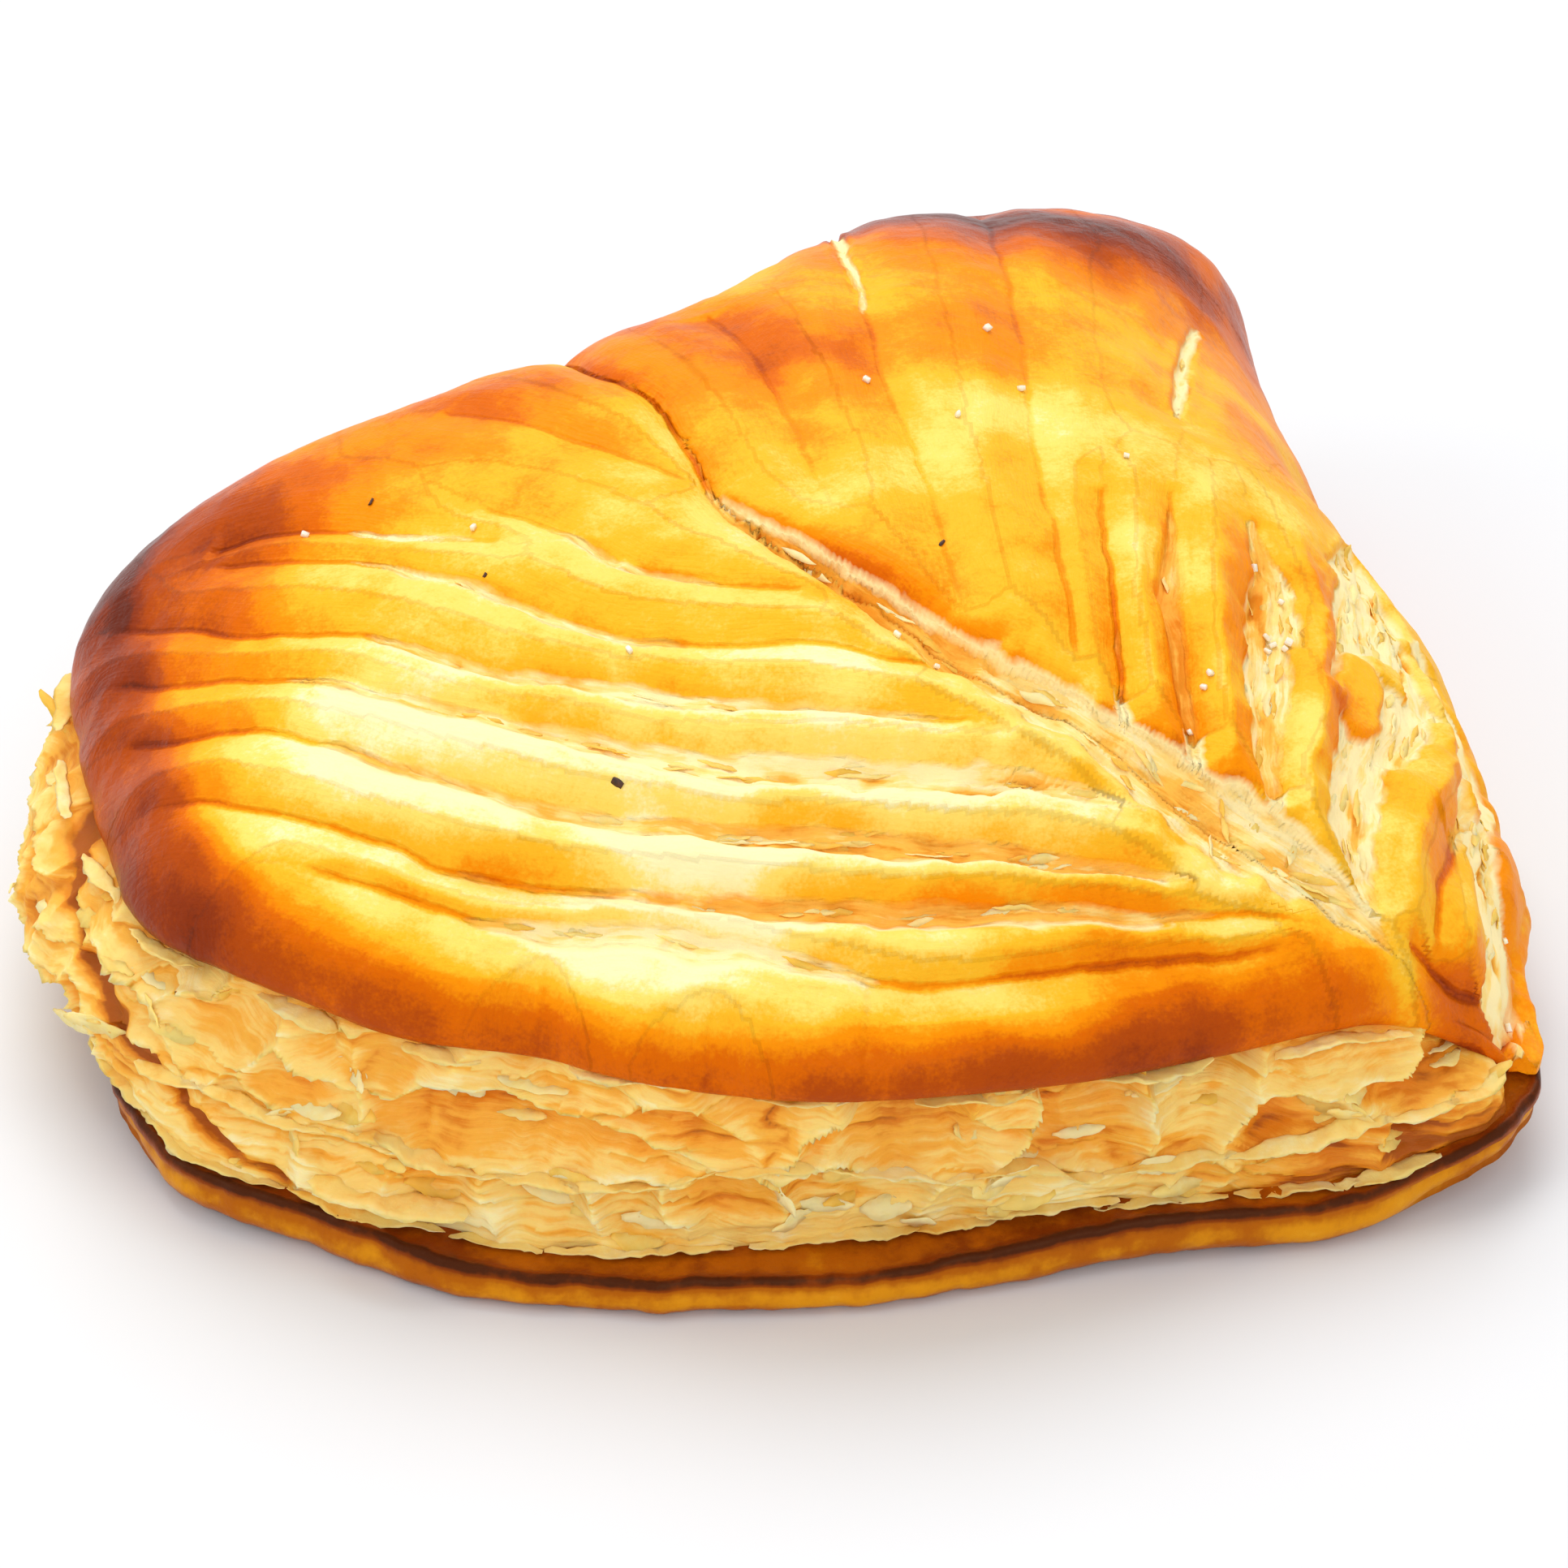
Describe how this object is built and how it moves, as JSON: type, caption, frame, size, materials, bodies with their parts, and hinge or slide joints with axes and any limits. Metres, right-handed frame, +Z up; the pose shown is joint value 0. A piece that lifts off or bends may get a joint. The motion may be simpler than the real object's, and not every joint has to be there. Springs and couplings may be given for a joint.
{
  "type": "apple turnover",
  "caption": "Baked puff pastry turnover with a folded side, a layered cut edge and a glazed top scored as a leaf; it lies on its flat bottom crust as food on a tray, plate or shelf.",
  "frame": {"origin": "middle of the footprint's bounding box, on the surface that the turnover lies on", "axes": "+Z up, out of the table; +X towards the straight folded side; +Y away from the long bulging front edge; the stalk end of the scored leaf is at the +X -Y corner"},
  "size_m": [0.13, 0.1304, 0.045],
  "materials": {
    "baked_pastry": "golden baked crust, satin",
    "glazed_skin": "egg-glazed skin, amber to chestnut brown at the rims, satin to glossy",
    "pastry_leaves": "dry thin leaves of pastry, pale cream to straw, matt and slightly see-through at the edges",
    "bottom_crust": "firm bottom sheet, golden brown with a dark caramelised rim, satin",
    "sugar_grains": "loose white sugar grains, clear and glossy"
  },
  "bodies": {
    "root": {"baked_turnover": "baked_pastry"}
  },
  "joints": []
}
